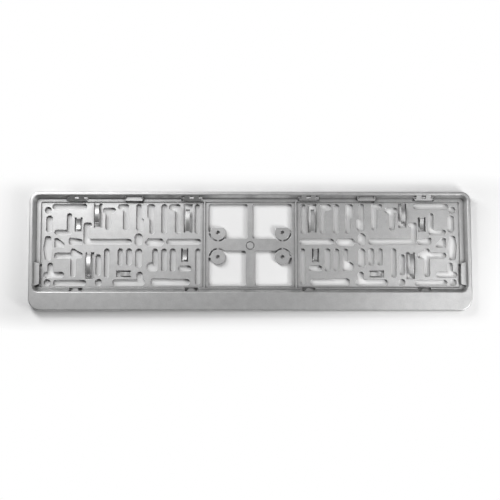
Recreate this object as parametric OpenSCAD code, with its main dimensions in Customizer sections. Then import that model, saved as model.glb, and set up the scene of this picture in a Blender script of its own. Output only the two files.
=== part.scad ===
// Number plate holder, moulded in one piece from plastic with a silver finish.
// It lies on its back: X runs along the plate, Y points to its upper edge and Z out of the front.
// A tray with a slotted floor carries the plate, a raised rim frames it and a wide strip closes it below.

/* [Number plate] */
// Length of the number plate that the holder takes
plate_l = 520; // [505:1:540]
// Height of the number plate that the holder takes
plate_h = 110; // [106:1:120]
// Play between the plate and the pocket at each end
play_x = 1; // [0.5:0.1:2]
// Play between the plate and the pocket at the top and at the bottom
play_y = 0.5; // [0.3:0.1:1.5]
// Room for the plate between the ledge and the lugs that hold it down
plate_room = 2.2; // [1.6:0.1:2.8]

/* [Pocket] */
// Depth of the pocket, from the rim's top to the ledge
pocket_depth = 8; // [7:0.1:9]
// How far the pocket's wall leans outwards from its foot to the rim
wall_run = 3.8; // [2.6:0.1:4.4]
// Corner radius at the foot of the pocket's wall
pocket_r = 4; // [3:0.1:6]
// Width of the ledge along the top
ledge_top = 3.2; // [2.8:0.1:4]
// Width of the ledge along the bottom
ledge_bottom = 1.9; // [1.6:0.1:2.6]
// Width of the ledge at each end
ledge_end = 4.7; // [4.2:0.1:5.2]
// How far the step between ledge and floor leans outwards
step_run = 1.2; // [0.6:0.1:1.6]
// Corner radius at the foot of the step
step_r = 1.5; // [1:0.1:3]

/* [Rim and strip] */
// Height of the whole holder
body_h = 12; // [11.5:0.1:13]
// Width of the rim's top, at the top and at both ends
rim_w = 4.2; // [3.8:0.1:6]
// Width of the plain strip below the plate
strip_w = 22.4; // [16:0.1:28]
// Outer corner radius at the strip
strip_r = 15; // [12:0.5:18]
// Rounding of the rim's outer edge
edge_r = 1.2; // [0.6:0.1:1.6]
// Size of the bevel on the rim's inner edge
inner_bevel = 0.5; // [0.3:0.1:0.8]

/* [Walls] */
// Thickness of the rim's and the strip's walls
wall_t = 2; // [1.6:0.1:2.2]
// Thickness of the slotted floor
floor_t = 2.5; // [2:0.1:3]
// Thickness of the stiffening webs behind the strip
web_t = 1.6; // [1.2:0.1:2]
// Number of stiffening webs behind the strip
web_count = 11; // [5:2:11]
// Distance of the last web from the end of the holder
web_end = 29; // [26:0.5:40]
// How far the webs stay back from the rear edge
web_setback = 1; // [0.6:0.1:3]

/* [Fixing holes] */
// Radius of the round fixing holes
hole_r = 4.2; // [3:0.1:4.4]
// Place of the corner holes along the plate, on the standard layout that spreads with the plate
hole_x = 247.5; // [246.5:0.1:248]
// Place of the upper corner holes above the middle, on the standard layout
hole_top = 42.3; // [41.8:0.1:42.6]
// Place of the lower corner holes below the middle, on the standard layout
hole_bottom = 46.7; // [46.4:0.1:47]

/* [Middle panel] */
// Distance of each rib from the middle
rib_x = 56; // [55:0.1:57]
// Width of a rib at its top
rib_w = 1.5; // [1:0.1:2]
// Width of a rib at its foot
rib_foot = 3.8; // [3:0.1:4.4]
// Width of the web between a rib and the windows
window_web = 5; // [4:0.1:6]
// Width of the floor left above and below the windows
window_edge = 1.6; // [1:0.1:4]
// Width of the upright bar between the upper windows
bar_upper = 6; // [5:0.1:10]
// Width of the upright bar between the lower windows
bar_lower = 10.4; // [8:0.1:12]
// Width of the lengthways bar between the windows
bar_cross = 14.6; // [13:0.1:16]
// Corner radius of the windows
window_r = 3; // [2:0.1:4]

/* [Break-off washers] */
// Radius of a washer
washer_r = 9.2; // [8:0.1:9.6]
// Radius of the hole in a washer
washer_hole_r = 2.3; // [2:0.1:3]
// Width of the gap round a washer
washer_gap = 1.8; // [1.2:0.1:2]
// Distance of the washers from the middle, along the plate
washer_x = 39.4; // [38:0.1:39.8]
// Distance of the washers above and below the middle
washer_y = 15; // [14.6:0.1:15.6]
// Height at which the upper washers are cut off flat, above their middle
washer_flat = 6; // [5:0.1:7.5]
// Width of the bridges that hold a washer
bridge_w = 2; // [1.2:0.1:2.6]
// Thickness of the bridges that hold a washer
bridge_t = 1.2; // [0.8:0.1:2]

/* [Spring tongues] */
// Width of a spring tongue
tongue_w = 4.9; // [4:0.1:5.2]
// Thickness of a long tongue
tongue_t = 1.5; // [1.2:0.1:1.7]
// How high a long tongue arches above the floor
arch = 4.4; // [3.4:0.1:4.8]
// Angle of the lip at the end of a long tongue
lip_angle = 35; // [20:1:40]
// Thickness of a short tongue, which dips until it is level with the back
short_t = 1.1; // [0.9:0.1:1.3]
// Length of the slits beside a tongue's root
root_slit = 1.9; // [1.2:0.1:2.4]

/* [Lugs and catches] */
// Thickness of the lugs that hold the plate down
lug_t = 1.8; // [1.4:0.1:2]
// How far the top tabs and the catches reach over the ledge
lug_reach = 2.8; // [2.2:0.1:3.2]
// Width of a top tab
tab_w = 22; // [18:0.5:24]
// Place of the top tabs along the plate, on the standard layout that spreads with the plate
tab_x = 142; // [130:0.5:150]
// Width of a spring catch
catch_w = 26; // [24:0.5:28]
// Width of the bar that joins the legs of a spring catch
catch_bar = 2.4; // [1.8:0.1:2.8]
// Width of each of the two legs of a spring catch
leg_w = 6.4; // [5:0.1:7]
// Width of the gap between the two legs
leg_gap = 5; // [4:0.1:6]
// Height of the pocket's wall that stays above a catch's opening
catch_band = 1.8; // [1.2:0.1:3]
// Height of the outer wall that stays above a catch's opening
release_band = 1.2; // [0.8:0.1:2]
// Place of the inner catches and lower lugs along the plate, on the standard layout
catch_inner_x = 71.5; // [68:0.5:76]
// Place of the outer catches and lower lugs along the plate, on the standard layout
catch_outer_x = 212; // [208:0.5:216]
// Width of a lower lug at the strip
lower_lug_w = 9.6; // [8:0.1:11]
// Width of the slit that stays open on each side of a lower lug
lower_slit = 3; // [2:0.1:4]
// How far a lower lug reaches over the ledge
lower_reach = 1; // [0.4:0.1:1.2]
// Width of a lower lug at its nose
lower_nose_w = 4.6; // [3:0.1:5.6]
// Length of the side lugs
side_lug_l = 27; // [22:0.5:29]
// How far a side lug reaches over the ledge
side_reach = 4.6; // [3.6:0.1:4.8]
// Place of a side lug's middle below the middle of the holder, on the standard layout
side_lug_y = 36.5; // [34:0.5:37]

/* [Hidden] */
$fa = 6;
$fs = 0.6;

// Margin by which a cut passes through a face
over = 1;
// Depth by which a joined piece sinks into what carries it
root = 0.6;
// Distance before its opening at which a tongue's face leaves the floor's face
seat = 0.1;

// The pocket's middle lies a little above the middle of the openings
pocket_rise = 0.5;
pocket_x = plate_l / 2 + play_x;
pocket_top = pocket_rise + plate_h / 2 + play_y;
pocket_low = pocket_rise - plate_h / 2 - play_y;

// Levels, counted from the back
ledge_z = body_h - pocket_depth;
lug_z = ledge_z + plate_room;
lug_top = lug_z + lug_t;
roof_z = body_h - wall_t;
// Lean of the pocket's wall, and the same wall's thickness measured lengthways
wall_lean = wall_run / pocket_depth;
wall_thick = wall_t * sqrt(1 + wall_lean * wall_lean);

// Outline of the whole holder, and the middle of it
out_x = pocket_x + wall_run + rim_w;
out_top = pocket_top + wall_run + rim_w;
out_low = pocket_low - wall_run - strip_w;
rim_r = pocket_r + wall_run + rim_w;
web_pitch = 2 * (out_x - web_end) / (web_count - 1);
middle_y = (out_top + out_low) / 2;

// The floor inside the step, and the windows in it
floor_x = pocket_x - ledge_end - step_run;
floor_top = pocket_top - ledge_top - step_run;
floor_low = pocket_low + ledge_bottom + step_run;
window_x = rib_x - window_web;
window_y = floor_top - window_edge;
ring_r = washer_r + washer_gap;
// The windows, washers and bar are set on the floor's own middle
panel_y = (floor_top + floor_low) / 2 - 0.15;

// The openings are laid out on a floor of this size, and spread with the real one
LAYOUT_X = 255.1;
LAYOUT_Y = 51.75;
LAYOUT_RIB = 56;
spread_x = (floor_x - rib_x) / (LAYOUT_X - LAYOUT_RIB);
spread_y = (floor_top - floor_low) / (2 * LAYOUT_Y);
function place_x(x) = rib_x + (x - LAYOUT_RIB) * spread_x;
function place_y(y) = y * spread_y;

// Upright slots: middle, lower end, upper end, width
UPRIGHT = [
    [245.8, 14.7, 35.7, 8.0], [221.4, 11.8, 38.7, 6.4], [200.5, 0, 27, 7.0], [173.8, 17.5, 44, 7.0],
    [152.1, 17.5, 50, 7.6], [136.4, 17, 50, 6.6], [133.4, 17, 32.5, 6.6], [119.9, 13, 50, 6.8],
    [122.6, 32, 50, 6.8], [105.3, 13.3, 50, 7.4], [88.7, 13.5, 50, 6.8], [64.8, 13.3, 50, 6.6],
    [136.5, -1.3, 13.8, 9.8], [244.0, -40.4, -22.3, 6.6], [216, -40, -4.8, 7.0],
    [185.5, -37.8, -12, 6.6], [175.2, -40.5, -4.8, 6.6], [158.7, -25.8, -4.8, 6.4],
    [148, -25.8, -4.8, 7.0], [136.3, -28.5, -5, 8.4], [116.3, -33, -5, 6.6], [105.4, -33, -5, 6.8],
    [94.6, -33.3, -4.8, 7.0], [64, -49, -4.8, 6.6], [134.8, -49, -33.4, 7.6]
];
// Lengthways slots: inner end, outer end, middle height, width
LENGTHWAYS = [
    [200, 242.6, 46.8, 6.8], [85.3, 99.5, 45.9, 7.8], [148.3, 162, 46.6, 6.8], [164.8, 180.5, 42, 7.0],
    [193.6, 204, 24.3, 5.6], [144.8, 204, 3.5, 7.0], [218.2, 239.6, 15, 6.4], [60.3, 102.6, 3.4, 7.2],
    [227, 252.4, -37.2, 7.4], [212.5, 239.6, -13.5, 7.0], [113, 126.6, -27.3, 11.4],
    [71.6, 88, -29.3, 7.0], [200, 240.2, -47, 7.0], [128.4, 168, -46.6, 7.6],
    [73.5, 121.6, -46.2, 7.8], [98, 121.6, -45.8, 8.6]
];
// Openings with slanted sides: corner radius, then the corners in order
SLANTED = [
    [1.2, [[239.4, 7.8], [235, 7.8], [227.3, 1], [227.3, -3.6], [239.4, -3.6]]],
    [2.6, [[221.8, 8.8], [204.9, 6.4], [204.9, -0.4], [221.8, -0.4]]],
    [1.2, [[104.6, 2.6], [108.2, 7.4], [125.4, 7.4], [129, 2.6], [125.4, -2.2], [108.2, -2.2]]],
    [2.4, [[250.6, 10.4], [243.8, 10.4], [241.6, -3.5], [243.2, -19.2], [250.4, -19.2], [252.9, -3.5]]],
    [1.4, [[214, -6.2], [205, -10.8], [205, -16.6], [214, -17]]]
];
// Round hole between the two lower rows of slots
EXTRA_HOLE = [184.9, -46.5];

// Spring tongues: root, turn, length, lip, how far along the crest lies, whether it arches to the front,
// then the gaps on the inner side, on the outer side and past the tip
DOWN = 180;
UP = 0;
OUTWARD = -90;
ARCHED = true;
DIPPED = false;
SPRINGS = [
    [[187.4, 48.7], DOWN, 21.2, 1.5, 0.53, ARCHED, 3.5, 1.4, 4.6],
    [[197.0, -11.6], DOWN, 25.4, 1.4, 0.52, ARCHED, 4.0, 1.4, 3.2],
    [[76.3, 16.8], UP, 24.4, 1.2, 0.6, ARCHED, 3.3, 2.5, 6.6],
    [[210.4, 31.4], DOWN, 12.4, 0, 0.53, DIPPED, 2.5, 2.0, 3.1],
    [[79.7, -6.8], DOWN, 11.9, 0, 0.55, DIPPED, 1.6, 2.1, 3.1],
    [[147.5, -36.3], OUTWARD, 11.5, 0, 0.55, DIPPED, 1.9, 1.6, 4.4]
];

// Copies its children onto both halves of the holder
module both_halves() {
    children();
    mirror([1, 0, 0]) children();
}

// Upright slot with round ends
module upright_slot(x, low, high, w) {
    translate([x - w / 2, low + w / 2]) square([w, high - low - w]);
    translate([x, low + w / 2]) circle(d = w);
    translate([x, high - w / 2]) circle(d = w);
}

// Lengthways slot with round ends
module lengthways_slot(inner, outer, y, w) {
    translate([inner + w / 2, y - w / 2]) square([outer - inner - w, w]);
    translate([inner + w / 2, y]) circle(d = w);
    translate([outer - w / 2, y]) circle(d = w);
}

// Unit direction from one point to another, and the inward normal of that side
function unit(a, b) = (b - a) / norm(b - a);
function left_of(d) = [-d[1], d[0]];
// Which way round the corners run: 1 or -1
function winding(p) = sign(cross(p[1] - p[0], p[2] - p[1]));
// Centre of the rounding at corner i
function corner_centre(p, i, r) =
    let (n = len(p), turn = winding(p), d1 = unit(p[(i + n - 1) % n], p[i]), d2 = unit(p[i], p[(i + 1) % n]),
         n1 = turn * left_of(d1), n2 = turn * left_of(d2))
    p[i] + r * (n1 + n2) / (1 + n1 * n2);

// Convex opening with straight sides and rounded corners
module soft_polygon(points, r) {
    n = len(points);
    turn = winding(points);
    centres = [for (i = [0:n - 1]) corner_centre(points, i, r)];
    polygon(centres);
    for (i = [0:n - 1]) {
        a = centres[i];
        b = centres[(i + 1) % n];
        out = -turn * left_of(unit(a, b)) * r;
        polygon([a, b, b + out, a + out]);
        translate(a) circle(r);
    }
}

// To a thousandth, so that flat walls and round corners meet exactly
function fine(v) = round(v * 1000) / 1000;

// Body of a rounded box whose sides lean outwards, exact at its corners too.
// It is grow_1 larger all round at z1 and grow_2 larger at z2.
module leaning_box(x, low, high, r, grow_1, z1, grow_2, z2) {
    g1 = fine(grow_1);
    g2 = fine(grow_2);
    rotate([90, 0, 90]) translate([0, 0, -x + r]) linear_extrude(2 * (x - r))
        polygon([[low - g1, z1], [high + g1, z1], [high + g2, z2], [low - g2, z2]]);
    translate([0, high - r, 0]) rotate([90, 0, 0]) linear_extrude(high - low - 2 * r)
        polygon([[-x - g1, z1], [x + g1, z1], [x + g2, z2], [-x - g2, z2]]);
    for (side = [-1, 1], y = [low + r, high - r])
        translate([side * (x - r), y, z1]) cylinder(h = z2 - z1, r1 = r + g1, r2 = r + g2);
}

// Pocket shape, grown outwards from its foot line by two amounts at two levels
module pocket_shape(grow_1, z1, grow_2, z2) {
    leaning_box(pocket_x, pocket_low, pocket_top, pocket_r, grow_1, z1, grow_2, z2);
}

// Section of the outer form from a corner's axis outwards, with a rounded upper edge
module edge_section(reach, z_low, z_high, r) {
    translate([0, z_low]) square([reach, z_high - z_low - r]);
    translate([0, z_low]) square([reach - r, z_high - z_low]);
    translate([reach - r, z_high - r]) circle(r);
}

// One end of the outer form: a straight run along X with a quarter turn at each end
module outer_end(y_out, corner_r, inset, z_low, z_high, r) {
    run = out_x - corner_r;
    reach = corner_r - inset;
    translate([0, y_out - corner_r, 0]) {
        translate([-run, 0, 0]) rotate([90, 0, 90]) linear_extrude(2 * run)
            edge_section(reach, z_low, z_high, r);
        translate([run, 0, 0]) rotate_extrude(angle = 90) edge_section(reach, z_low, z_high, r);
        translate([-run, 0, 0]) rotate([0, 0, 90]) rotate_extrude(angle = 90)
            edge_section(reach, z_low, z_high, r);
    }
}

// Outer form of the holder, drawn in by an inset
module outer_form(inset, z_low, z_high, r) {
    outer_end(out_top, rim_r, inset, z_low, z_high, r);
    mirror([0, 1, 0]) outer_end(-out_low, strip_r, inset, z_low, z_high, r);
    length_y = out_top - rim_r - out_low - strip_r;
    translate([0, out_top - rim_r, 0]) rotate([90, 0, 0]) linear_extrude(length_y)
        for (side = [0, 1]) mirror([side, 0]) edge_section(out_x - inset, z_low, z_high, r);
}

// Hollow behind the rim and the strip, open at the back
module back_hollow() {
    low = -over;
    difference() {
        outer_form(wall_t, low, roof_z, edge_r / 2);
        pocket_shape(wall_thick + (low - over - ledge_z) * wall_lean, low - over,
                     wall_thick + (body_h - ledge_z) * wall_lean, body_h);
    }
}

// Pocket for the plate, with a small bevel on its upper edge
module pocket_cut() {
    pocket_shape(0, ledge_z, wall_run + over * wall_lean, body_h + over);
    bevel_z = body_h - inner_bevel;
    bevel_low = (bevel_z - ledge_z) * wall_lean;
    pocket_shape(bevel_low, bevel_z, bevel_low + (inner_bevel + over) * 2, body_h + over);
}

// Step from the ledge down to the slotted floor
module floor_cut() {
    leaning_box(floor_x, floor_low, floor_top, step_r, 0, floor_t,
                step_run * (1 + over / (ledge_z - floor_t)), ledge_z + over);
}

// Window in one quarter of the middle panel, with a round seat for its washer
module window(bar) {
    low = panel_y + bar_cross / 2;
    washer = [washer_x, panel_y + washer_y];
    difference() {
        translate([bar / 2, low]) {
            soft_polygon([[0, 0], [window_x - bar / 2, 0], [window_x - bar / 2, window_y - low],
                          [0, window_y - low]], window_r);
        }
        translate([washer[0], low - over]) square([window_x - washer[0] + over, washer[1] - low + over]);
    }
    translate(washer) circle(ring_r);
}

// All slots, holes and windows of one half
module half_openings() {
    for (s = UPRIGHT) upright_slot(place_x(s[0]), place_y(s[1]), place_y(s[2]), s[3] * spread_x);
    for (s = LENGTHWAYS) lengthways_slot(place_x(s[0]), place_x(s[1]), place_y(s[2]), s[3] * spread_y);
    for (s = SLANTED)
        soft_polygon([for (p = s[1]) [place_x(p[0]), place_y(p[1])]], s[0] * min(spread_x, spread_y));
    for (s = SPRINGS) spring_window(s);
    translate([place_x(EXTRA_HOLE[0]), place_y(EXTRA_HOLE[1])]) circle(hole_r);
    translate([place_x(hole_x), place_y(hole_top)]) circle(hole_r);
    translate([place_x(hole_x), -place_y(hole_bottom)]) circle(hole_r);
    window(bar_upper);
    translate([0, 2 * panel_y, 0]) mirror([0, 1]) window(bar_lower);
}

// Spread of the layout along a spring tongue and across it
function spread_along(s) = s[1] == OUTWARD ? spread_x : spread_y;
function spread_across(s) = s[1] == OUTWARD ? spread_y : spread_x;

// Opening round a spring tongue, in the tongue's own directions
module spring_window(s) {
    inner = (s[1] == DOWN ? s[7] : s[6]) * spread_across(s);
    outer = (s[1] == DOWN ? s[6] : s[7]) * spread_across(s);
    past = (s[2] + s[8]) * spread_along(s) + s[3] + (s[5] ? tongue_t * sin(lip_angle) : 0);
    translate([place_x(s[0][0]), place_y(s[0][1])]) rotate(s[1]) {
        translate([-tongue_w / 2 - inner, 0]) square([tongue_w + inner + outer, past]);
        translate([-tongue_w / 2 - inner, -root_slit]) square([inner, root_slit + over]);
        translate([tongue_w / 2, -root_slit]) square([outer, root_slit + over]);
    }
}

// Leaf that follows a circle through its root, from one side of the circle to the other by its thickness
module leaf(length, centre, r_out, r_in) {
    intersection() {
        translate([0, centre[0], centre[1]]) rotate([0, 90, 0]) difference() {
            cylinder(h = tongue_w, r = r_out, center = true, $fa = 3);
            cylinder(h = tongue_w + over, r = r_in, center = true, $fa = 3);
        }
        translate([-tongue_w / 2, -root, 0]) cube([tongue_w, length + root, body_h]);
    }
}

// Long tongue: it arches to the front and ends in a lip that turns up again
module long_tongue(length, lip, crest) {
    r = fine((pow(crest + seat, 2) + arch * arch) / (2 * arch));
    mid_z = floor_t + arch - r;
    start = length - root;
    start_z = mid_z + sqrt(r * r - pow(start - crest, 2));
    end_z = mid_z + sqrt(r * r - pow(length - crest, 2));
    tip_z = end_z + lip * tan(lip_angle);
    leaf(length, [crest, mid_z], r, r - tongue_t);
    translate([-tongue_w / 2, 0, 0]) rotate([90, 0, 90]) linear_extrude(tongue_w)
        polygon([[start, start_z - tongue_t * 0.1], [length, end_z - seat / 2], [length + lip, tip_z],
                 [length + lip + tongue_t * sin(lip_angle), tip_z - tongue_t * cos(lip_angle)],
                 [length, end_z - tongue_t * 1.15], [start, start_z - tongue_t * 0.9]]);
}

// Short tongue: it dips towards the back and rises again
module short_tongue(length, crest) {
    dip = floor_t - short_t;
    r = fine((pow(crest + seat, 2) + dip * dip) / (2 * dip));
    leaf(length, [crest, short_t + r], r + short_t, r);
}

// One spring tongue of the list
module spring_tongue(s) {
    length = s[2] * spread_along(s);
    translate([place_x(s[0][0]), place_y(s[0][1]), 0]) rotate(s[1]) {
        if (s[5]) long_tongue(length, s[3], length * s[4]);
        else short_tongue(length, length * s[4]);
    }
}

// Rib across the floor, level with the ledge
module rib() {
    translate([rib_x, floor_top + step_run + root, 0]) rotate([90, 0, 0])
        linear_extrude(floor_top - floor_low + 2 * step_run + 2 * root)
            polygon([[-rib_foot / 2, floor_t - root], [rib_foot / 2, floor_t - root], [rib_foot / 2, floor_t],
                     [rib_w / 2, ledge_z], [-rib_w / 2, ledge_z], [-rib_foot / 2, floor_t]]);
}

// Washer that breaks out of the floor, held by two thin bridges
module washer(flat) {
    reach = ring_r + root;
    difference() {
        union() {
            cylinder(h = floor_t, r = washer_r);
            translate([0, -bridge_w / 2, floor_t - bridge_t]) cube([reach, bridge_w, bridge_t]);
            translate([-bridge_w / 2, -reach, floor_t - bridge_t]) cube([bridge_w, reach, bridge_t]);
        }
        translate([0, 0, -over]) cylinder(h = floor_t + 2 * over, r = washer_hole_r);
        if (flat > 0) translate([-ring_r, flat, -over]) cube([2 * ring_r, ring_r, floor_t + 2 * over]);
    }
}

// The two washers of one half
module half_washers() {
    translate([washer_x, panel_y + washer_y, 0]) washer(washer_flat);
    translate([washer_x, panel_y - washer_y, 0]) mirror([0, 1, 0]) washer(0);
}

// Sets its children on the pocket's top wall: x along the wall, y inwards from its foot
module on_top_wall(x) {
    translate([x, pocket_top, 0]) mirror([0, 1, 0]) children();
}

// The same on the pocket's bottom wall
module on_bottom_wall(x) {
    translate([x, pocket_low, 0]) children();
}

// The same on the pocket's end wall
module on_end_wall(y) {
    translate([pocket_x, y, 0]) rotate([0, 0, 90]) children();
}

// Solid with the section given as [inwards, up] points and the outline given as children
module lug_solid(section) {
    intersection() {
        translate([-catch_w, 0, 0]) rotate([90, 0, 90]) linear_extrude(2 * catch_w) polygon(section);
        linear_extrude(body_h) children();
    }
}

// Section of a ramp from the rim down to a nose that hooks over the plate's edge
function ramp_section(reach, nose_top) = [
    [-wall_run - wall_thick, body_h - 0.8], [-wall_run, body_h - inner_bevel], [reach - 0.9, nose_top],
    [reach, nose_top - 0.8], [reach, lug_z], [reach - lug_t, lug_z],
    [-wall_run, body_h - inner_bevel - lug_t * 1.25], [-wall_run - wall_thick, roof_z - 0.2]
];

// Spring catch at the top: two legs from the rim carry a nose over the plate's edge
module catch() {
    nose_half = catch_w / 2 - 1;
    leg_in = leg_gap / 2;
    bar = lug_reach - catch_bar;
    lug_solid(ramp_section(lug_reach, lug_top - 0.1)) {
        polygon([[-nose_half, bar], [nose_half, bar], [nose_half - 2, lug_reach], [2 - nose_half, lug_reach]]);
        for (side = [-1, 1]) translate([side * (leg_in + leg_w / 2), 0])
            translate([-leg_w / 2, -wall_run - wall_thick]) square([leg_w, wall_run + wall_thick + lug_reach - 1]);
    }
}

// Opening behind a catch, through the ledge and the lower part of the pocket's wall.
// It runs on through the outer wall, so that a tool can lift the catch from above.
module catch_window() {
    translate([-catch_w / 2, -wall_run - wall_thick, -over])
        cube([catch_w, wall_run + wall_thick + lug_reach - 0.2, roof_z - catch_band + over]);
    translate([-catch_w / 2, -wall_run - rim_w - over, -over])
        cube([catch_w, wall_t + 0.4 + over, roof_z - release_band + over]);
}

// Lower lug: a ramp from the strip with a narrow nose
module lower_lug() {
    half = lower_lug_w / 2;
    nose = lower_nose_w / 2;
    back = -wall_run - wall_thick;
    lug_solid(ramp_section(lower_reach, lug_top + 0.4))
        polygon([[-half, back], [half, back], [half, -wall_run], [nose + 1, lower_reach - 1.2],
                 [nose, lower_reach], [-nose, lower_reach], [-nose - 1, lower_reach - 1.2], [-half, -wall_run]]);
}

// Opening under a lower lug, with a slit on each side of it
module lower_lug_window() {
    w = lower_lug_w + 2 * lower_slit;
    translate([-w / 2, -wall_run - wall_thick, -over])
        cube([w, wall_run + wall_thick + ledge_bottom + 0.2, roof_z - 0.4 + over]);
}

// Flat lug with slanted ends; a top tab has a cheek at each end that stays it against the rim
module flat_lug(w, reach, cheeks) {
    back = -(lug_z - ledge_z) * wall_lean - wall_thick / 2;
    translate([0, 0, lug_z]) linear_extrude(lug_t)
        polygon([[-w / 2 - 1, back], [w / 2 + 1, back], [w / 2 + 1, back + 0.5], [w / 2 - 1, reach],
                 [1 - w / 2, reach], [-w / 2 - 1, back + 0.5]]);
    if (cheeks) for (side = [-1, 1]) translate([side * (w / 2 - 0.6) - 0.6, 0, 0]) rotate([90, 0, 90]) linear_extrude(1.2)
        polygon([[-wall_run - wall_thick / 2, body_h - 1], [-wall_run, body_h - 1],
                 [reach - 1.6, lug_top], [reach - 1.6, lug_z], [back, lug_z]]);
}

// Opening under a flat lug, a little wider than the lug so that a core can pass
module flat_lug_window(w, reach, past) {
    translate([-w / 2 + 1, 0.2, -over]) cube([w - 2, reach + past, ledge_z + 2 * over]);
}

// Stiffening web behind the strip, cut to the slant of the pocket's wall
module strip_web(x) {
    outer = out_low + wall_t / 2;
    inner = pocket_low - wall_thick / 2 + ledge_z * wall_lean;
    top = roof_z + root;
    translate([x - web_t / 2, 0, 0]) rotate([90, 0, 90]) linear_extrude(web_t)
        polygon([[outer, web_setback], [inner - web_setback * wall_lean, web_setback],
                 [inner - top * wall_lean, top], [outer, top]]);
}

// Shallow ring in the middle of the bar, left by the moulding gate
module gate_ring() {
    translate([0, panel_y - 1, floor_t - 0.6]) difference() {
        cylinder(h = over, r = 5.3);
        translate([0, 0, -over]) cylinder(h = 3 * over, r = 4.1);
    }
}

// Everything that is cut through the ledge and the walls for the lugs of one half
module half_lug_windows() {
    for (x = [place_x(catch_inner_x), place_x(catch_outer_x)]) {
        on_top_wall(x) catch_window();
        on_bottom_wall(x) lower_lug_window();
    }
    on_top_wall(place_x(tab_x)) flat_lug_window(tab_w, lug_reach, 1.6);
    on_end_wall(-place_y(side_lug_y)) flat_lug_window(side_lug_l, side_reach, 2.2);
}

// The lugs, catches and spring tongues of one half
module half_lugs() {
    for (x = [place_x(catch_inner_x), place_x(catch_outer_x)]) {
        on_top_wall(x) catch();
        on_bottom_wall(x) lower_lug();
    }
    on_top_wall(place_x(tab_x)) flat_lug(tab_w, lug_reach, true);
    on_end_wall(-place_y(side_lug_y)) flat_lug(side_lug_l, side_reach, false);
    for (s = SPRINGS) spring_tongue(s);
}

// The whole moulding
module plate_holder() {
    color([0.74, 0.75, 0.77]) translate([0, -middle_y, 0]) {
        difference() {
            outer_form(0, 0, body_h, edge_r);
            pocket_cut();
            floor_cut();
            back_hollow();
            both_halves() half_lug_windows();
            translate([0, 0, -over]) linear_extrude(ledge_z + over) both_halves() half_openings();
            gate_ring();
        }
        for (i = [0:web_count - 1]) strip_web((i - (web_count - 1) / 2) * web_pitch);
        both_halves() {
            rib();
            half_washers();
            half_lugs();
        }
    }
}

plate_holder();
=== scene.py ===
"""Number plate holder in satin silver lacquer, on a pale table.

Soft lamps at two opposite corners light it, as in the photograph.
"""

import logging
import math
from dataclasses import dataclass, field
from enum import Enum
from typing import Any

import bmesh
import bpy
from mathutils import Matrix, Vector


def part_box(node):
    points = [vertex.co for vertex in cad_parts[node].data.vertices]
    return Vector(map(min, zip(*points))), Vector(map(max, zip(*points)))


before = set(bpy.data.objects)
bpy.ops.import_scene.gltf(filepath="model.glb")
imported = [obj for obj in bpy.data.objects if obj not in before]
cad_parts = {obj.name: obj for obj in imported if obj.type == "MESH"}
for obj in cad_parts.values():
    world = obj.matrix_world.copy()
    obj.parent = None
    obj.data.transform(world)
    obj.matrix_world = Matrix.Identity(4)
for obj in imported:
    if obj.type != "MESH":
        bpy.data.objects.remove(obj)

LOG = logging.getLogger("plate_holder")
MM = 0.001

Colour = tuple[float, float, float]
Point = tuple[float, float, float]
Socket = bpy.types.NodeSocket

WHITE = (1.0, 1.0, 1.0, 1.0)
# The strength at which a glow shows as pure white, and a bump has its whole height
FULL = 1.0
# Most of a noise pattern's values lie between these two
PATTERN_LOW = 0.3
PATTERN_HIGH = 0.7


class Piece(Enum):
    """The CAD nodes that this scene dresses."""

    HOLDER = "plate_holder"


class Input(Enum):
    """Sockets of the shader that a pattern drives."""

    BASE = "Base Color"
    ROUGHNESS = "Roughness"
    GRAZING = "Specular Tint"
    NORMAL = "Normal"


class Ray(Enum):
    """Kinds of ray that a shader can tell apart."""

    CAMERA = "Is Camera Ray"
    GLOSSY = "Is Glossy Ray"
    TRANSMISSION = "Is Transmission Ray"


class Maths(Enum):
    """Blender's two kinds of math node."""

    NUMBER = "ShaderNodeMath"
    VECTOR = "ShaderNodeVectorMath"


class Step(Enum):
    """What one math node does with its values."""

    ABSOLUTE = "ABSOLUTE"
    ADD = "ADD"
    DIVIDE = "DIVIDE"
    LENGTH = "LENGTH"
    MAXIMUM = "MAXIMUM"
    MULTIPLY = "MULTIPLY"
    POWER = "POWER"
    SCALE = "SCALE"
    SUBTRACT = "SUBTRACT"


@dataclass(frozen=True)
class Pattern:
    """A noise pattern on a surface.

    Attributes:
        size: Size of one grain in metres.
        layers: Number of finer layers in the grain.
        play: How far it moves a value up and down, or how high it stands, in metres, where it is a relief.
    """

    size: float
    layers: float
    play: float


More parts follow.
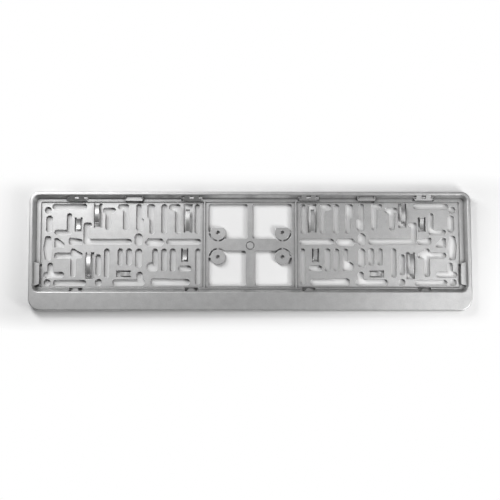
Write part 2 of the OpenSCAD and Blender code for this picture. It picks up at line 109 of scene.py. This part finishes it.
class Graph:
    """A small helper that adds and joins the nodes of one node tree."""

    def __init__(self, tree: bpy.types.NodeTree) -> None:
        """Empties the tree.

        Args:
            tree: The node tree to build in.
        """
        self.tree = tree
        tree.nodes.clear()

    def add(self, kind: str, **inputs: Any) -> bpy.types.Node:
        """Adds a node and sets its input sockets.

        Args:
            kind: Blender's name of the node type.
            inputs: Socket names, with underscores for spaces, and their values.

        Returns:
            The new node.
        """
        node = self.tree.nodes.new(kind)
        for name, value in inputs.items():
            node.inputs[name.replace("_", " ")].default_value = value
        return node

    def join(self, source: Socket, target: Socket) -> None:
        """Links an output socket to an input socket."""
        self.tree.links.new(source, target)

    def noise(self, where: Socket, pattern: Pattern) -> Socket:
        """Adds a noise pattern.

        Args:
            where: Coordinates that the pattern reads.
            pattern: Its grain.

        Returns:
            The pattern's value, about 0.5 on average.
        """
        node = self.add("ShaderNodeTexNoise", Scale=1.0 / pattern.size, Detail=pattern.layers)
        self.join(where, node.inputs["Vector"])
        return node.outputs["Fac"]

    def varied(self, where: Socket, pattern: Pattern, middle: float = 1.0) -> Socket:
        """Varies a number from place to place.

        Args:
            where: Coordinates that the pattern reads.
            pattern: Its grain, and how far it plays.
            middle: The number to vary.

        Returns:
            The number, give or take the pattern's play.
        """
        low = middle - pattern.play
        high = middle + pattern.play
        return self.spread(self.noise(where, pattern), low, high, PATTERN_LOW, PATTERN_HIGH)

    def relief(self, where: Socket, pattern: Pattern) -> bpy.types.Node:
        """Adds a bump that follows a noise pattern.

        Args:
            where: Coordinates that the pattern reads.
            pattern: Its grain, and its height as its play.

        Returns:
            The bump node.
        """
        node = self.add("ShaderNodeBump", Strength=FULL, Distance=pattern.play)
        self.join(self.noise(where, pattern), node.inputs["Height"])
        return node

    def blend(self, share: Socket, first: Socket, second: Socket) -> Socket:
        """Mixes two shaders.

        Args:
            share: Share of the second shader, from 0 to 1.
            first: The shader at share 0.
            second: The shader at share 1.

        Returns:
            The mixed shader.
        """
        node = self.tree.nodes.new("ShaderNodeMixShader")
        for source, socket in ((share, 0), (first, 1), (second, 2)):
            self.join(source, node.inputs[socket])
        return node.outputs["Shader"]

    def pair(self, step: Step, first: Socket, second: Socket) -> Socket:
        """Works out one value from two.

        Args:
            step: What is done with them.
            first: The first value.
            second: The second value.

        Returns:
            The result.
        """
        node = self.tree.nodes.new(Maths.NUMBER.value)
        node.operation = step.value
        self.join(first, node.inputs[0])
        self.join(second, node.inputs[1])
        return node.outputs["Value"]

    def chain(self, maths: Maths, value: Socket, *steps: tuple[Step, Any]) -> Socket:
        """Passes a value through a row of math nodes.

        Args:
            maths: Whether the value is a number or a vector.
            value: What the first node reads.
            steps: What each node does, and the constant that it does it with, or None.

        Returns:
            The last node's result.
        """
        for step, constant in steps:
            node = self.tree.nodes.new(maths.value)
            node.operation = step.value
            self.join(value, node.inputs[0])
            if constant is not None:
                node.inputs[1].default_value = constant
            is_number = maths is Maths.NUMBER or step is Step.LENGTH
            value = node.outputs["Value" if is_number else "Vector"]
        return value

    def scaled(self, colour: Colour, share: Socket) -> Socket:
        """Multiplies a colour by a value.

        Args:
            colour: The colour.
            share: The value to multiply it by.

        Returns:
            Their product.
        """
        node = self.tree.nodes.new(Maths.VECTOR.value)
        node.operation = Step.SCALE.value
        node.inputs[0].default_value = colour
        self.join(share, node.inputs["Scale"])
        return node.outputs["Vector"]

    def sight(self, *rays: Ray) -> Socket:
        """Tells the kinds of ray that meet the shader.

        Args:
            rays: The kinds that count.

        Returns:
            1 for a ray of one of these kinds, else 0.
        """
        path = self.tree.nodes.new("ShaderNodeLightPath")
        total = path.outputs[rays[0].value]
        for ray in rays[1:]:
            total = self.pair(Step.MAXIMUM, total, path.outputs[ray.value])
        return total

    def spread(self, value: Socket, low: float, high: float, start: float, end: float) -> Socket:
        """Maps a value from start and end to low and high.

        Args:
            value: The value to map.
            low: Result at start.
            high: Result at end.
            start: Value that gives low.
            end: Value that gives high.

        Returns:
            The mapped value.
        """
        node = self.tree.nodes.new("ShaderNodeMapRange")
        for name, number in (("From Min", start), ("From Max", end), ("To Min", low), ("To Max", high)):
            node.inputs[name].default_value = number
        self.join(value, node.inputs["Value"])
        return node.outputs["Result"]


@dataclass(frozen=True)
class SilverLacquer:
    """Satin silver lacquer with a fine metallic fleck on a moulded part, with painted shade that darkens
    its colour and gloss in the inner corners.

    Attributes:
        name: The material's name.
        base: The lacquer's colour.
        metallic: How much of it shines as metal.
        grazing: Tint of its gloss where it is seen edge on.
        roughness: Roughness on average.
        fleck: Fine metallic grains in the colour.
        mottle: Patches in the colour, a few millimetres wide.
        cloud: Wide, faint clouds in the colour.
        satin: Patches in the roughness.
        peel: The faint relief of orange peel.
        edge_radius: Radius of the softened edges.
        edge_samples: Number of rays that look for an edge.
        painted_shade_reach: How far the painted shade reaches from an inner corner.
        painted_shade_strength: How much of the colour and gloss the painted shade takes where it is
            darkest.
        painted_shade_open: Openness of a corner, from 0 to 1, up to which the painted shade is darkest.
        painted_shade_samples: Number of rays that look for a corner to paint shade into.
    """

    name: str = "silver_plastic"
    base: Colour = (0.70, 0.70, 0.70)
    metallic: float = 0.8
    grazing: Colour = (0.35, 0.35, 0.35)
    roughness: float = 0.45
    fleck: Pattern = Pattern(0.45 * MM, 1.0, 0.08)
    mottle: Pattern = Pattern(8 * MM, 2.0, 0.045)
    cloud: Pattern = Pattern(28 * MM, 3.0, 0.012)
    satin: Pattern = Pattern(7 * MM, 4.0, 0.025)
    peel: Pattern = Pattern(1.6 * MM, 2.0, 0.012 * MM)
    edge_radius: float = 0.45 * MM
    edge_samples: int = 6
    # Painted shade: ambient occlusion darkens the colour and the gloss's tint in inner corners
    painted_shade_reach: float = 6 * MM
    painted_shade_strength: float = 0.92
    painted_shade_open: float = 0.4
    painted_shade_samples: int = 8

    def shader(self) -> bpy.types.Material:
        """Builds the material.

        Returns:
            The lacquer, with its patterns on Object coordinates.
        """
        material = bpy.data.materials.new(self.name)
        material.use_nodes = True
        graph = Graph(material.node_tree)
        where = graph.add("ShaderNodeTexCoord").outputs["Object"]
        # Painted shade: the colour is the lacquer's grain times a darkening in inner corners
        corner = self._painted_corner_shade(graph)
        shade = graph.pair(Step.MULTIPLY, self._grain(graph, where), corner)
        body = graph.add("ShaderNodeBsdfPrincipled", Metallic=self.metallic)
        patterns = (
            (Input.BASE, graph.scaled(self.base, shade)),
            # The same painted shade dims the gloss's tint in inner corners
            (Input.GRAZING, graph.scaled(self.grazing, corner)),
            (Input.ROUGHNESS, graph.varied(where, self.satin, self.roughness)),
            (Input.NORMAL, self._relief(graph, where)),
        )
        for socket, pattern in patterns:
            graph.join(pattern, body.inputs[socket.value])
        out = graph.add("ShaderNodeOutputMaterial")
        graph.join(body.outputs["BSDF"], out.inputs["Surface"])
        return material

    def _grain(self, graph: Graph, where: Socket) -> Socket:
        """Varies the colour with fleck, mottle and clouds.

        Args:
            graph: The material's node tree.
            where: Coordinates on the part.

        Returns:
            How light the colour is, about 1 on average.
        """
        shade = graph.varied(where, self.fleck)
        for pattern in (self.mottle, self.cloud):
            shade = graph.pair(Step.MULTIPLY, shade, graph.varied(where, pattern))
        return shade

    def _painted_corner_shade(self, graph: Graph) -> Socket:
        """Finds the inner corners and paints shade into them.

        Args:
            graph: The material's node tree.

        Returns:
            A factor on colour and gloss: 1 on open faces, and less where shade is painted deep in the
                corners.
        """
        corner = graph.add("ShaderNodeAmbientOcclusion", Distance=self.painted_shade_reach)
        corner.samples = self.painted_shade_samples
        return graph.spread(corner.outputs["AO"], 1.0 - self.painted_shade_strength, 1.0, self.painted_shade_open, 1.0)

    def _relief(self, graph: Graph, where: Socket) -> Socket:
        """Softens the edges and adds the lacquer's faint orange peel.

        Args:
            graph: The material's node tree.
            where: Coordinates on the part.

        Returns:
            The surface's direction.
        """
        edge = graph.add("ShaderNodeBevel", Radius=self.edge_radius)
        edge.samples = self.edge_samples
        peel = graph.relief(where, self.peel)
        graph.join(edge.outputs["Normal"], peel.inputs["Normal"])
        return peel.outputs["Normal"]


def footprint() -> Point:
    """Measures the ground that the holder covers.

    Returns:
        Its length and width in metres, and no height.
    """
    low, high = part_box(Piece.HOLDER.value)
    return (high.x - low.x, high.y - low.y, 0.0)


@dataclass(frozen=True)
class TablePaper:
    """Matt white table. What the camera sees of it turns to pure white a little way off the object.

    Attributes:
        name: The material's name.
        base: Its colour to the light that falls on the object.
        seen: Its colour to the camera, brighter, as in the photograph.
        roughness: How matt it is.
        grain: The paper's relief.
        covered: Length and width of the object on it.
        fade_margin: How far inside the object's outline the fade starts.
        fade_along: Length of the fade past the object's ends.
        fade_across: Length of the fade past its long sides.
    """

    name: str = "table_paper"
    base: Colour = (0.80, 0.80, 0.80)
    seen: Colour = (1.13, 1.13, 1.13)
    roughness: float = 0.9
    grain: Pattern = Pattern(1.2 * MM, 2.0, 0.02 * MM)
    covered: Point = field(default_factory=footprint)
    fade_margin: float = 2 * MM
    fade_along: float = 90 * MM
    fade_across: float = 27 * MM

    def shader(self) -> bpy.types.Material:
        """Builds the material.

        Returns:
            The table's material.
        """
        material = bpy.data.materials.new(self.name)
        material.use_nodes = True
        graph = Graph(material.node_tree)
        where = graph.add("ShaderNodeTexCoord").outputs["Object"]
        grain = graph.relief(where, self.grain).outputs["Normal"]
        plain = self._paper(graph, self.base, grain)
        seen = self._paper(graph, self.seen, grain)
        white = graph.add("ShaderNodeEmission", Color=WHITE, Strength=FULL).outputs["Emission"]
        faded = graph.blend(self._fade(graph, where), seen, white)
        top = graph.blend(graph.sight(Ray.CAMERA, Ray.GLOSSY, Ray.TRANSMISSION), plain, faded)
        out = graph.add("ShaderNodeOutputMaterial")
        graph.join(top, out.inputs["Surface"])
        return material

    def _paper(self, graph: Graph, colour: Colour, grain: Socket) -> Socket:
        """Makes matt paper of one colour.

        Args:
            graph: The material's node tree.
            colour: The paper's colour.
            grain: The surface's direction.

        Returns:
            The shader.
        """
        paper = graph.add("ShaderNodeBsdfDiffuse", Color=(*colour, 1.0), Roughness=self.roughness)
        graph.join(grain, paper.inputs["Normal"])
        return paper.outputs["BSDF"]

    def _fade(self, graph: Graph, where: Socket) -> Socket:
        """Finds where the table turns to pure white, round the object's outline.

        Args:
            graph: The material's node tree.
            where: Coordinates on the table, with the object's middle at the origin.

        Returns:
            The share of white: 0 under and beside the object, rising to 1 at the fade's end.
        """
        inner = [side / 2 - self.fade_margin for side in self.covered]
        away = graph.chain(
            Maths.VECTOR, where,
            (Step.ABSOLUTE, None),
            (Step.SUBTRACT, inner),
            (Step.MAXIMUM, (0.0, 0.0, 0.0)),
            (Step.DIVIDE, (self.fade_along, self.fade_across, 1.0)),
            (Step.LENGTH, None),
        )
        return graph.spread(away, 0.0, 1.0, 0.0, 1.0)


@dataclass
class PlateHolder:
    """The holder itself: one moulding, whose CAD shape stays and gets its lacquer.

    Attributes:
        finish: The lacquer.
    """

    finish: SilverLacquer = field(default_factory=SilverLacquer)

    def dress(self, node: bpy.types.Object) -> None:
        """Gives the CAD node its finish.

        Args:
            node: The holder's CAD object.
        """
        material = self.finish.shader()
        if not node.material_slots:
            node.data.materials.append(material)
        for place in node.material_slots:
            place.material = material
        LOG.info("%s: %d faces in %s", node.name, len(node.data.polygons), material.name)


@dataclass
class Table:
    """The pale table under the holder.

    Attributes:
        width: Side of the square top, in metres.
        cells: Number of the top's faces along a side.
        level: Height of the top. It lies a little below the holder, because the shadows in the photograph's
            slots are those of a floor that stands clear of what is under it.
        finish: The table's material.
    """

    width: float = 6.0
    cells: int = 8
    level: float = -1.6 * MM
    finish: TablePaper = field(default_factory=TablePaper)

    def build(self) -> bpy.types.Object:
        """Makes the table's top.

        Returns:
            The table's object.
        """
        mesh = bpy.data.meshes.new("table")
        shape = bmesh.new()
        bmesh.ops.create_grid(shape, x_segments=self.cells, y_segments=self.cells, size=self.width / 2)
        bmesh.ops.translate(shape, verts=shape.verts, vec=(0.0, 0.0, self.level))
        shape.to_mesh(mesh)
        shape.free()
        table = bpy.data.objects.new("table", mesh)
        bpy.context.scene.collection.objects.link(table)
        mesh.materials.append(self.finish.shader())
        LOG.info("%s: %.1f m wide, in %s", table.name, self.width, self.finish.name)
        return table


@dataclass(frozen=True)
class Lamp:
    """One square softbox that points at the middle of the holder.

    Attributes:
        name: The lamp's name.
        place: Where it hangs.
        width: Side of its square, in metres.
        power: Its power in watts.
        aim: The point that it faces.
    """

    name: str
    place: Point
    width: float
    power: float
    aim: Point = (0.0, 0.0, 0.0)

    def build(self) -> bpy.types.Object:
        """Hangs the lamp.

        Returns:
            The lamp's object.
        """
        light = bpy.data.lights.new(self.name, "AREA")
        light.shape = "SQUARE"
        light.size = self.width
        light.energy = self.power
        lamp = bpy.data.objects.new(self.name, light)
        lamp.location = self.place
        lamp.rotation_euler = (Vector(self.aim) - Vector(self.place)).to_track_quat("-Z", "Y").to_euler()
        bpy.context.scene.collection.objects.link(lamp)
        return lamp


@dataclass
class Studio:
    """Soft lamps at two opposite corners, in a dim room that is a little lighter overhead.

    Attributes:
        lamps: The lamps, first the group at the upper left, then the one at the lower right.
        room: The room's light from every side.
        overhead: Light that is added straight overhead.
        overhead_power: How fast that light fades towards the sides.
    """

    lamps: tuple[Lamp, ...] = (
        Lamp("upper_left_high", (-0.38, 0.51, 0.90), 0.20, 1.6),
        Lamp("upper_left_low", (-0.55, 0.42, 0.40), 0.20, 1.5),
        Lamp("upper_left_far", (-0.42, 0.47, 0.50), 0.20, 0.7),
        Lamp("upper_left_near", (-0.28, 0.30, 0.62), 0.20, 0.75),
        Lamp("lower_right_low", (0.55, -0.30, 0.38), 0.20, 2.15),
        Lamp("lower_right_near", (0.33, -0.01, 0.52), 0.20, 0.36),
    )
    room: float = 0.015
    overhead: float = 0.03
    overhead_power: float = 4.0

    def build(self) -> None:
        """Hangs the lamps and sets the room's light."""
        for lamp in self.lamps:
            lamp.build()
        world = bpy.data.worlds.new("room")
        bpy.context.scene.world = world
        world.use_nodes = True
        graph = Graph(world.node_tree)
        glow = graph.add("ShaderNodeBackground", Color=WHITE)
        graph.join(self._strength(graph), glow.inputs["Strength"])
        white = graph.add("ShaderNodeBackground", Color=WHITE, Strength=FULL)
        # A lacquer is lit by what its glossy rays meet, so those keep the room's true light
        seen = graph.sight(Ray.CAMERA, Ray.TRANSMISSION)
        shown = graph.blend(seen, glow.outputs["Background"], white.outputs["Background"])
        out = graph.add("ShaderNodeOutputWorld")
        graph.join(shown, out.inputs["Surface"])
        LOG.info("studio: %d lamps", len(self.lamps))

    def _strength(self, graph: Graph) -> Socket:
        """Works out the room's light, with more of it from overhead than from the side.

        Args:
            graph: The world's node tree.

        Returns:
            The light's strength in each direction.
        """
        split = graph.add("ShaderNodeSeparateXYZ")
        graph.join(graph.add("ShaderNodeTexCoord").outputs["Generated"], split.inputs["Vector"])
        return graph.chain(
            Maths.NUMBER, split.outputs["Z"],
            (Step.MAXIMUM, 0.0),
            (Step.POWER, self.overhead_power),
            (Step.MULTIPLY, self.overhead),
            (Step.ADD, self.room),
        )


@dataclass(frozen=True)
class PhotoCamera:
    """The photograph's camera: nearly overhead, and a little to the strip's side.

    Attributes:
        tilt: Its angle from straight overhead, in radians.
        distance: How far it is from its aim, in metres.
        aim: The point in the middle of the view.
        half_view: Half the photograph's width, in pixels.
        focal: Focal length, in pixels.
        far: How far it sees, in metres.
    """

    tilt: float = math.radians(6.5)
    distance: float = 1.5
    aim: Point = (-0.00018, 0.0017, 0.004)
    half_view: float = 250.0
    focal: float = 1228.5
    far: float = 10.0

    def build(self) -> bpy.types.Object:
        """Places the camera.

        Returns:
            The camera's object.
        """
        data = bpy.data.cameras.new("camera")
        data.sensor_fit = "HORIZONTAL"
        data.lens_unit = "FOV"
        data.angle = 2 * math.atan(self.half_view / self.focal)
        data.clip_end = self.far
        camera = bpy.data.objects.new("camera", data)
        back = Vector((0.0, -math.sin(self.tilt), math.cos(self.tilt)))
        camera.location = Vector(self.aim) + back * self.distance
        camera.rotation_euler = (self.tilt, 0.0, 0.0)
        bpy.context.scene.collection.objects.link(camera)
        bpy.context.scene.camera = camera
        return camera


def main() -> None:
    """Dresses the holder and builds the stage."""
    logging.basicConfig(level=logging.INFO, format="%(name)s: %(message)s")
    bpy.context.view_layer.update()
    PlateHolder().dress(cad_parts[Piece.HOLDER.value])
    Table().build()
    Studio().build()
    PhotoCamera().build()
    bpy.context.scene.view_settings.view_transform = "Standard"


if __name__ == "__main__":
    main()
